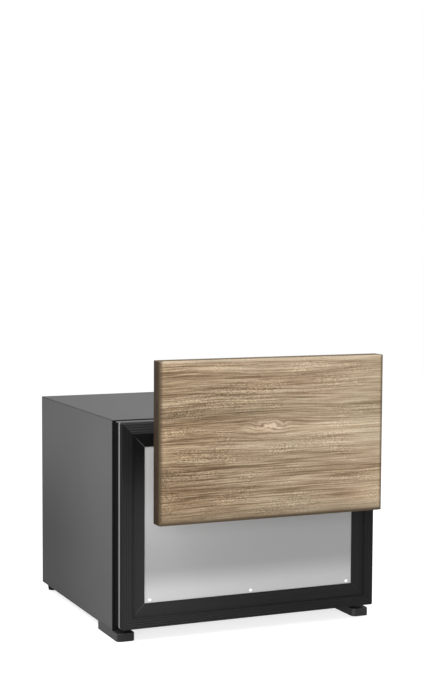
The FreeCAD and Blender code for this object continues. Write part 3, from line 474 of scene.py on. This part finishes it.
def frame_black():
    """Black coated aluminium bars, ridged along the outside and cut to a mitre at the corners, with painted
    light at the lower left and on the top ribs and painted shade on the top land and along the outline.
    """
    s = Surface("frame_black", 0.5, gloss=0.03)
    base_stops = [(0.3, grey(0.019)), (0.7, grey(0.025, 0.0252))]
    lit_tone, shade_tone = grey(0.030, 0.0302), grey(0.003)
    top_rib_light_tone, top_rib_light_share = grey(0.034, 0.0342), 0.8
    low_rib_share, side_rib_share = 0.7, 0.25
    outline_shadow = 0.0011

    x, _, z = s.axes()
    from_side, from_end = inset_from_outline(s)
    inset = s.maths("MINIMUM", from_side, from_end)
    upright = s.maths("LESS_THAN", from_side, from_end)
    level = s.minus(1.0, upright)
    in_ribs = s.maths("LESS_THAN", inset, rib_end)
    left = s.spread(x, (front_low.x, front_low.x + 0.30), falling)
    near = s.spread(x, (front_low.x, front_low.x + 0.17), falling)
    low = s.spread(z, (front_low.z, front_low.z + 0.29), falling)
    high = s.spread(z, (front_high.z - 0.13, front_high.z - 0.03))
    land = s.spread(inset, (rib_end, land_start), (0.55, 0.85))
    drawn = drawn_marks(s, upright)

    # Painted light: the lower left of the frame lighter, where the light falls.
    tone = s.mixed(s.product(left, low), s.ramp(drawn, base_stops), lit_tone)
    # Painted shade on the land of the top bar, under its ribs.
    tone = s.mixed(s.product(high, land), tone, shade_tone)
    top_ribs = s.product(level, high)
    low_ribs = s.product(level, low, near, low_rib_share)
    side_ribs = s.product(upright, near, side_rib_share)
    # Painted light on the ribs of the top bar.
    tone = s.mixed(s.product(top_ribs, in_ribs, top_rib_light_share), tone, top_rib_light_tone)
    tone = ribbed(s, tone, inset, (top_ribs, low_ribs, side_ribs), in_ribs)
    tone = mitred(s, tone, inset, from_side, from_end, near)
    tone = s.mixed(s.spread(inset, (0.0, outline_shadow), falling), tone, shade_tone)
    return s.finish(tone, drawn, depth=0.0002)


# Materials of the inside

def brushed_metal(name, colour, roughness, stretch):
    """Sheet metal with rolling marks along one direction."""
    s = Surface(name, roughness, metallic=1.0)
    lines = s.brushed(stretch)
    tone = s.mixed(lines, shaded(colour, 0.8), shaded(colour, 1.15))
    rough = s.spread(lines, wide_span, (roughness - 0.06, roughness + 0.1))
    return s.finish(tone, lines, depth=0.00005, roughness=rough)


def zinc_steel():
    """Galvanised sheet with its spangles."""
    s = Surface("zinc_steel", 0.38, metallic=0.9)
    spangle = s.add("ShaderNodeRGBToBW", Color=s.cells(120.0).outputs["Color"]).outputs[0]
    return s.finish(s.mixed(spangle, (0.42, 0.43, 0.44), (0.58, 0.59, 0.6)), spangle, depth=0.00005)


def seal_rubber(name, colour):
    """Soft black rubber with a dull bloom."""
    s = Surface(name, 0.65, gloss=0.05)
    bloom = s.spread(s.noise(70.0, detail=5.0, roughness=0.6), (0.35, 0.75))
    return s.finish(s.mixed(bloom, colour, shaded(colour, 2.0)), s.noise(1200.0), depth=0.0001)


def milky_lens():
    """Milky plastic that spreads the light of the lamp."""
    s = Surface("milky_lens", 0.35)
    s.shader.inputs["Transmission Weight"].default_value = 0.35
    tone = s.mottled((0.82, 0.85, 0.88), (0.92, 0.93, 0.95), scale=90.0)
    return s.finish(tone, s.noise(900.0), depth=0.0001)


def circuit_board():
    """Green board with fine copper tracks."""
    s = Surface("circuit_board", 0.4)
    tracks = s.add("ShaderNodeTexBrick", Vector=s.place, Scale=180.0,
                   Color1=(0.01, 0.12, 0.05, 1.0), Color2=(0.015, 0.17, 0.07, 1.0),
                   Mortar=(0.05, 0.26, 0.12, 1.0))
    return s.finish(tracks.outputs["Color"], tracks.outputs["Fac"], depth=0.0001, strength=0.4)


def foam(name, colour, cell):
    """Foam with open cells."""
    s = Surface(name, 0.9)
    cells = s.cells(cell).outputs["Distance"]
    tone = s.mixed(s.spread(cells, (0.1, 0.7)), shaded(colour, 0.6), shaded(colour, 1.2))
    return s.finish(tone, cells, depth=0.0004, strength=0.7)


# Materials of the decor board

def round_knot(s, zone):
    """Share of one round the knot of the decor panel that fades over a length and a height."""
    length, height = zone
    x, _, z = s.axes()
    side = s.maths("DIVIDE", s.minus(x, knot_x), length)
    rise = s.maths("DIVIDE", s.minus(z, knot_z), height)
    reach = s.total(s.product(side, side), s.product(rise, rise))
    return s.maths("EXPONENT", s.product(reach, -1.0))


def swing(s, detail, roughness, along, up):
    """Soft noise about nought, in so many waves per metre along and up the board."""
    return s.minus(s.noise(1.0, detail, roughness, s.stretched(along, 1.0, up)), 0.5)


def wood_place(s):
    """Grain coordinates of the decor panel: slow waves, and a knot that the grain flows round."""
    wave_rise, ripple_rise, whirl_rise, knot_pull = 0.016, 0.0012, 0.015, -0.60
    x, y, z = s.axes()
    wave = s.product(swing(s, 1.0, 0.4, along=4.0, up=8.0), wave_rise)
    ripple = s.product(swing(s, 2.0, 0.5, along=20.0, up=40.0), ripple_rise)
    whirl_share = s.product(round_knot(s, knot_whirl), whirl_rise)
    whirl = s.product(swing(s, 2.0, 0.5, along=40.0, up=60.0), whirl_share)
    knot = round_knot(s, knot_bend)
    pull = s.product(s.minus(z, knot_z), s.product(knot, knot_pull))
    bent = s.total(z, wave, ripple, whirl, pull)
    return s.add("ShaderNodeCombineXYZ", i0=x, i1=y, i2=bent).outputs[0], knot


def streaks(s, grain, length, width):
    """Noise drawn out along the grain into streaks of a length and a width."""
    return s.noise(1.0, roughness=0.55, place=s.stretched(1 / length, 1.0, 1 / width, grain))


def wood_level(s, grain, knot):
    """Lightness of the grain, from broad bands down to fine lines by share, length and width."""
    layers = ((0.22, 0.30, 0.036), (0.17, 0.30, 0.0085), (0.16, 0.18, 0.0040), (0.45, 0.080, 0.0018))
    knot_share, middle_level = 0.04, 0.5
    left_contrast, right_contrast = 1.20, 0.86
    parts = [s.product(streaks(s, grain, length, width), share) for share, length, width in layers]
    level = s.total(s.product(knot, knot_share), *parts)
    x = s.axes()[0]
    contrast = s.spread(x, (panel_low.x, panel_high.x), (left_contrast, right_contrast))
    return s.total(s.product(s.minus(level, middle_level), contrast), middle_level)


def wood_colour(s, level):
    """Colour of the grain, pale inside the knot and a little warmer or cooler in patches."""
    stops = [(0.36, (0.150, 0.094, 0.050)), (0.43, (0.290, 0.205, 0.124)),
             (0.50, (0.440, 0.335, 0.220)), (0.57, (0.560, 0.448, 0.310)), (0.65, (0.76, 0.65, 0.49))]
    heart_tone, warm, cool = (0.72, 0.56, 0.42), (1.055, 1.050, 1.065), (1.025, 1.055, 1.080)
    heart = s.product(round_knot(s, knot_heart), s.spread(level, (0.36, 0.52), (0.34, 0.72)))
    tone = s.mixed(heart, s.ramp(level, stops), heart_tone)
    hue = s.spread(s.noise(1.0, place=s.stretched(5.0, 1.0, 16.0)), (0.38, 0.62))
    return s.mixed(hue, s.tinted(tone, warm), s.tinted(tone, cool))


def more_left(s, left, gain, base):
    """Share that rises from a base by a gain towards the left end of the board."""
    return s.total(s.product(left, gain), base)


def wood_marks(s, tone, grain, left):
    """Tone of the wood with light rays, dark pores and short dashes, all clearer to the left."""
    marks = (
        # length, width, span, gain to the left, base, colour
        (0.22, 0.0021, (0.55, 0.62), 0.60, 0.16, (0.78, 0.66, 0.49)),
        (0.17, 0.0019, (0.56, 0.63), 0.60, 0.18, (0.16, 0.105, 0.060)),
        (0.026, 0.0014, (0.54, 0.66), 0.45, 0.15, (0.17, 0.112, 0.065)),
    )
    for length, width, span, gain, base, colour in marks:
        mark = s.spread(streaks(s, grain, length, width), span)
        tone = s.mixed(s.product(mark, more_left(s, left, gain, base)), tone, colour)
    return tone


def level_band(s, height, down, reach):
    """One at a share of the height of the board from its top, fading over a reach."""
    middle = panel_high.z - down * (panel_high.z - panel_low.z)
    return s.spread(s.size_of(s.minus(height, middle)), (0.0, reach), falling)


def wood_bands(s, tone, grain, left):
    """Tone of the wood with two broad dark bands, a pale one at the knot and a pale lower right."""
    dark_tint, pale_tint, pale_share = (0.50, 0.475, 0.45), grey(1.30), 0.45
    corner_across, corner_up = (0.10, panel_high.x), (panel_low.z, panel_low.z + 0.12)
    x, _, z = s.axes()
    height = s.axes(grain)[2]
    upper = s.product(level_band(s, height, down=0.33, reach=0.021), more_left(s, left, 0.60, 0.06))
    lower = s.product(level_band(s, height, down=0.70, reach=0.018), more_left(s, left, 0.20, 0.12))
    tone = s.mixed(s.most(upper, lower), tone, s.tinted(tone, dark_tint))
    corner = s.product(s.spread(x, corner_across), s.spread(z, corner_up, (0.7, 0.0)))
    pale = s.product(level_band(s, height, down=0.435, reach=0.011), pale_share)
    return s.mixed(s.most(pale, corner), tone, s.tinted(tone, pale_tint))


def wood_specks(s, left):
    """Factor about one for the fine specks, which come in patches and are clearer to the left."""
    fine = s.noise(1.0, roughness=0.6, place=s.stretched(340.0, 1.0, 600.0))
    broad = s.noise(1.0, detail=3.0, roughness=0.6, place=s.stretched(14.0, 1.0, 40.0))
    speck = s.spread(fine, (0.32, 0.68), (-0.30, 0.30))
    patch = s.spread(broad, (0.45, 0.62), (0.22, 1.0))
    return s.total(s.product(speck, s.product(patch, more_left(s, left, 0.7, 0.85))), 1.0)


def wood_borders(s, tone):
    """Tone of the wood, with a painted highlight under its upper edge, and dark along its sides and its
    foot.
    """
    upper_highlight_tone, foot_tone, border_tone = (0.74, 0.62, 0.46), (0.16, 0.120, 0.080), (0.070, 0.048, 0.027)
    upper_highlight_span, foot_span = (panel_high.z - 0.0070, panel_high.z - 0.0015), (0.0040, 0.0260)
    side_border, foot_border = (0.0008, 0.0060), (0.0018, 0.0070)
    half_width = panel_high.x - panel_middle.x

    x, _, z = s.axes()
    from_side = s.minus(half_width, s.size_of(s.minus(x, panel_middle.x)))
    from_foot = s.minus(z, panel_low.z)
    # Painted highlight under the upper edge.
    tone = s.mixed(s.spread(z, upper_highlight_span, (0.0, 0.45)), tone, upper_highlight_tone)
    tone = s.mixed(s.spread(from_foot, foot_span, (0.50, 0.0)), tone, foot_tone)
    border = s.most(s.spread(from_side, side_border, (0.85, 0.0)),
                    s.spread(from_foot, foot_border, falling))
    return s.mixed(border, tone, border_tone)


def decor_wood():
    """Oak laminate with fine long streaks, dark pores, light rays and darkened borders."""
    s = Surface("decor_wood", 0.5, gloss=0.2)
    left_tint, upper_share = (0.56, 0.50, 0.435), 0.78
    x, _, z = s.axes()
    left = s.spread(x, (panel_low.x, panel_high.x), falling)
    low = s.spread(z, (panel_middle.z, panel_high.z), (1.0, upper_share))
    grain, knot = wood_place(s)
    level = wood_level(s, grain, knot)
    tone = wood_marks(s, wood_colour(s, level), grain, left)
    tone = s.mixed(s.product(left, low), tone, s.tinted(tone, left_tint))
    tone = s.tinted(wood_bands(s, tone, grain, left), wood_specks(s, left))
    rough = s.spread(level, (0.4, 0.65), (0.6, 0.42))
    return s.finish(wood_borders(s, tone), level, depth=0.0004, roughness=rough)


def decor_edge():
    """Dark brown edge band of the decor panel, darkened further by painted shade, with painted light along
    its top and its front.
    """
    s = Surface("decor_edge", 0.55, gloss=0.06)
    stops = [(0.32, (0.024, 0.015, 0.009)), (0.5, (0.052, 0.034, 0.021)), (0.68, (0.098, 0.068, 0.042))]
    shade, front_highlight_tone, top_shading_tone = (0.55, 0.52, 0.50), (0.085, 0.062, 0.027), (0.125, 0.085, 0.045)
    front_shading_span = (panel_low.y + 0.002, panel_low.y + 0.010)
    top_shading_span = (panel_high.z - 0.0012, panel_high.z - 0.0006)

    _, y, z = s.axes()
    streak = s.noise(1.0, detail=4.0, roughness=0.65, place=s.stretched(14.0, 260.0, 30.0))
    thread = s.noise(1.0, detail=3.0, roughness=0.6, place=s.stretched(60.0, 700.0, 130.0))
    level = s.total(s.product(streak, 0.6), s.product(thread, 0.4))
    # Painted shade darkens the whole band.
    tone = s.tinted(s.ramp(level, stops), shade)
    # Painted highlight along the front of the band.
    tone = s.mixed(s.spread(y, front_shading_span, (0.5, 0.0)), tone, front_highlight_tone)
    # Painted light on the top of the band.
    tone = s.mixed(s.spread(z, top_shading_span), tone, top_shading_tone)
    return s.finish(tone, level, depth=0.0004)


# Every material

def all_materials():
    """Material of every slot of the record."""
    along_y, all_ways, across_x = (200.0, 4.0, 200.0), (300.0, 300.0, 300.0), (60.0, 5.0, 5.0)
    return {
        "cabinet_paint": cabinet_paint(),
        "rim_black": rim_black(),
        "black_plastic": painted("black_plastic", grey(0.006, 0.0061), 0.65, mottle=0.15, gloss=0.03),
        "foot_paint": foot_paint(),
        "foot_black": painted("foot_black", grey(0.008, 0.0081), 0.6, mottle=0.15, grain=500.0, gloss=0.04),
        "seal_rubber": seal_rubber("seal_rubber", grey(0.005, 0.0051)),
        "frame_black": frame_black(),
        "silver_sheet": silver_sheet(),
        "skin_steel": skin_steel(),
        "zinc_steel": zinc_steel(),
        "rail_steel": brushed_metal("rail_steel", (0.44, 0.45, 0.46), 0.32, along_y),
        "screw_steel": brushed_metal("screw_steel", grey(0.34, 0.345), 0.35, all_ways),
        "rivet_metal": brushed_metal("rivet_metal", grey(0.82), 0.25, all_ways),
        "raw_aluminium": brushed_metal("raw_aluminium", (0.72, 0.73, 0.74), 0.35, across_x),
        "liner_plastic": painted("liner_plastic", (0.66, 0.67, 0.68), 0.35, mottle=0.03),
        "tub_plastic": painted("tub_plastic", (0.42, 0.43, 0.44), 0.3, mottle=0.04),
        "insulation": foam("insulation", (0.80, 0.72, 0.48), 420.0),
        "milky_lens": milky_lens(),
        "circuit_board": circuit_board(),
        "ceramic_tile": painted("ceramic_tile", (0.8, 0.8, 0.78), 0.6, mottle=0.04),
        "cable_black": seal_rubber("cable_black", grey(0.012)),
        "decor_wood": decor_wood(),
        "decor_edge": decor_edge(),
        "door_black": door_black(),
        "pad_foam": foam("pad_foam", grey(0.05), 900.0),
    }


def dress_nodes(materials):
    """Gives every node of the frame the material of its slot, and two of them one of their own."""
    for part in frame["record"]["subparts"]:
        mesh = nodes[part["node"]].data
        mesh.materials.clear()
        mesh.materials.append(materials[part["material_slot"]])
    nodes["sheet_rivets"].data.materials[0] = materials["rivet_metal"]
    nodes["door_inner_panel"].data.materials[0] = materials["door_black"]


# Pieces

def placed(name, data):
    """New object of some data, in the scene."""
    thing = bpy.data.objects.new(name, data)
    bpy.context.scene.collection.objects.link(thing)
    return thing


def smooth_mesh(name, shape):
    """Mesh of a finished shape, shaded smooth."""
    mesh = bpy.data.meshes.new(name)
    shape.to_mesh(mesh)
    shape.free()
    for face in mesh.polygons:
        face.use_smooth = True
    return mesh


def new_piece(name, mesh, body):
    """Object made of a mesh, in the scene, that rides on a body."""
    mesh.name = name
    piece = placed(name, mesh)
    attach(piece, body)
    return piece


def rounded_box(low, high, bevel):
    """Mesh of a box with rounded edges."""
    shape = bmesh.new()
    bmesh.ops.create_cube(shape, size=1.0)
    bmesh.ops.scale(shape, vec=high - low, verts=shape.verts)
    bmesh.ops.translate(shape, vec=(low + high) / 2, verts=shape.verts)
    bmesh.ops.bevel(shape, geom=shape.edges, offset=bevel, segments=bevel_steps, profile=0.5, affect="EDGES")
    return smooth_mesh("box", shape)


def add_board(materials):
    """Decor board with softly rounded corners, its faces veneered and its edges banded."""
    mesh = rounded_box(panel_low, panel_high, board_bevel)
    mesh.materials.append(materials["decor_wood"])
    mesh.materials.append(materials["decor_edge"])
    for face in mesh.polygons:
        face.material_index = 0 if abs(face.normal.y) > veneer_facing else 1
    board = new_piece("board", mesh, "panel_body")
    weighted = board.modifiers.new("normals", "WEIGHTED_NORMAL")
    weighted.keep_sharp = True
    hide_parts("decor_panel")


def add_pads(materials):
    """Two foam strips on the back of the board."""
    low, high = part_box("mounting_pads")
    for index, z in enumerate((low.z, high.z - pad_height)):
        corner = Vector((high.x, high.y, z + pad_height))
        mesh = rounded_box(Vector((low.x, low.y, z)), corner, pad_bevel)
        mesh.materials.append(materials["pad_foam"])
        pad = new_piece("pad_" + str(index), mesh, "panel_body")
        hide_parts("mounting_pads")


def round_loop(low, high, inset, depth):
    """Points round the drawer front at an inset from a box and at a depth, with rounded corners."""
    points = []
    reach = seal_round - inset
    for turn, x, z in ((0, high.x, high.z), (1, low.x, high.z), (2, low.x, low.z), (3, high.x, low.z)):
        centre_x = x - math.copysign(seal_round, x)
        centre_z = z - seal_round if z == high.z else z + seal_round
        for step in range(seal_steps + 1):
            angle = (turn + step / seal_steps) * math.pi / 2
            points.append((centre_x + reach * math.cos(angle), depth, centre_z + reach * math.sin(angle)))
    return points


def add_seal(materials):
    """Magnetic door seal: a flat foot, two folds and the broad nose that holds the magnet."""
    low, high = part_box("gasket")
    shape = bmesh.new()
    rings = []
    for inset, share in seal_section:
        points = round_loop(low, high, inset, low.y + share * (high.y - low.y))
        rings.append([shape.verts.new(point) for point in points])
    count = len(rings[0])
    for ring, after in zip(rings, rings[1:] + rings[:1]):
        for index in range(count):
            follow = (index + 1) % count
            shape.faces.new((ring[index], ring[follow], after[follow], after[index]))
    bmesh.ops.recalc_face_normals(shape, faces=shape.faces)
    mesh = smooth_mesh("seal", shape)
    mesh.materials.append(materials["seal_rubber"])
    seal = new_piece("seal", mesh, "drawer_body")
    crease = seal.modifiers.new("creases", "EDGE_SPLIT")
    crease.split_angle = seal_crease
    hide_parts("gasket")


# Studio

def white_for_viewer(tree, surface, output, white):
    """Shows a surface white to the camera, in reflections and through glass, and lit to all else."""
    path = tree.nodes.new("ShaderNodeLightPath")
    seen = path.outputs["Is Camera Ray"]
    for name in ("Is Glossy Ray", "Is Transmission Ray"):
        either = tree.nodes.new("ShaderNodeMath")
        either.operation = "MAXIMUM"
        tree.links.new(seen, either.inputs[0])
        tree.links.new(path.outputs[name], either.inputs[1])
        seen = either.outputs[0]
    mix = tree.nodes.new("ShaderNodeMixShader")
    for index, source in enumerate((seen, surface, white)):
        tree.links.new(source, mix.inputs[index])
    tree.links.new(mix.outputs[0], output)


def add_floor():
    """Pale floor that keeps the shadow of the object and is white beyond it."""
    shape = bmesh.new()
    bmesh.ops.create_grid(shape, x_segments=1, y_segments=1, size=floor_size / 2)
    floor = placed("floor", smooth_mesh("floor", shape))
    material = bpy.data.materials.new("floor")
    material.use_nodes = True
    tree = material.node_tree
    tree.nodes.clear()
    diffuse = tree.nodes.new("ShaderNodeBsdfDiffuse")
    diffuse.inputs["Color"].default_value = (floor_white, floor_white, floor_white, 1.0)
    glow = tree.nodes.new("ShaderNodeEmission")
    glow.inputs["Strength"].default_value = floor_lift
    both = tree.nodes.new("ShaderNodeAddShader")
    tree.links.new(diffuse.outputs[0], both.inputs[0])
    tree.links.new(glow.outputs[0], both.inputs[1])
    output = tree.nodes.new("ShaderNodeOutputMaterial")
    white_for_viewer(tree, diffuse.outputs[0], output.inputs["Surface"], both.outputs[0])
    floor.data.materials.append(material)


def add_world():
    """White backdrop with a softer light on the object."""
    world = bpy.data.worlds.new("studio")
    bpy.context.scene.world = world
    world.use_nodes = True
    tree = world.node_tree
    tree.nodes.clear()
    ambient = tree.nodes.new("ShaderNodeBackground")
    ambient.inputs["Strength"].default_value = ambient_strength
    backdrop = tree.nodes.new("ShaderNodeBackground")
    for shader in (ambient, backdrop):
        shader.inputs["Color"].default_value = (1.0, 1.0, 1.0, 1.0)
    output = tree.nodes.new("ShaderNodeOutputWorld")
    white_for_viewer(tree, ambient.outputs[0], output.inputs["Surface"], backdrop.outputs[0])


def add_light(name, place, size, power):
    """Square soft box that faces the middle of the object."""
    target = (cad_low + cad_high) / 2
    data = bpy.data.lights.new(name, "AREA")
    data.shape = "SQUARE"
    data.size = size
    data.energy = power
    data.color = light_colour
    light = placed(name, data)
    light.location = place
    light.rotation_mode = "QUATERNION"
    light.rotation_quaternion = (target - place).to_track_quat("-Z", "Y")


def add_camera():
    """Camera at the place and angle of the photograph."""
    data = bpy.data.cameras.new("camera")
    data.lens = camera_lens
    data.sensor_width = camera_sensor
    back = Vector((-math.sin(camera_yaw) * math.cos(camera_pitch),
                   -math.cos(camera_yaw) * math.cos(camera_pitch), math.sin(camera_pitch)))
    level_right = Vector((math.cos(camera_yaw), -math.sin(camera_yaw), 0.0))
    level_up = back.cross(level_right)
    right = math.cos(camera_roll) * level_right + math.sin(camera_roll) * level_up
    up = back.cross(right)
    camera = placed("camera", data)
    turn = Matrix((right, up, back)).transposed()
    camera.matrix_world = Matrix.Translation(camera_place) @ turn.to_4x4()
    bpy.context.scene.camera = camera


def add_studio():
    """Camera, floor, backdrop and soft boxes."""
    add_camera()
    add_floor()
    add_world()
    for soft_box in soft_boxes:
        add_light(*soft_box)


bpy.context.scene.view_settings.view_transform = "Standard"
add_studio()
slot_materials = all_materials()
dress_nodes(slot_materials)
add_board(slot_materials)
add_pads(slot_materials)
add_seal(slot_materials)
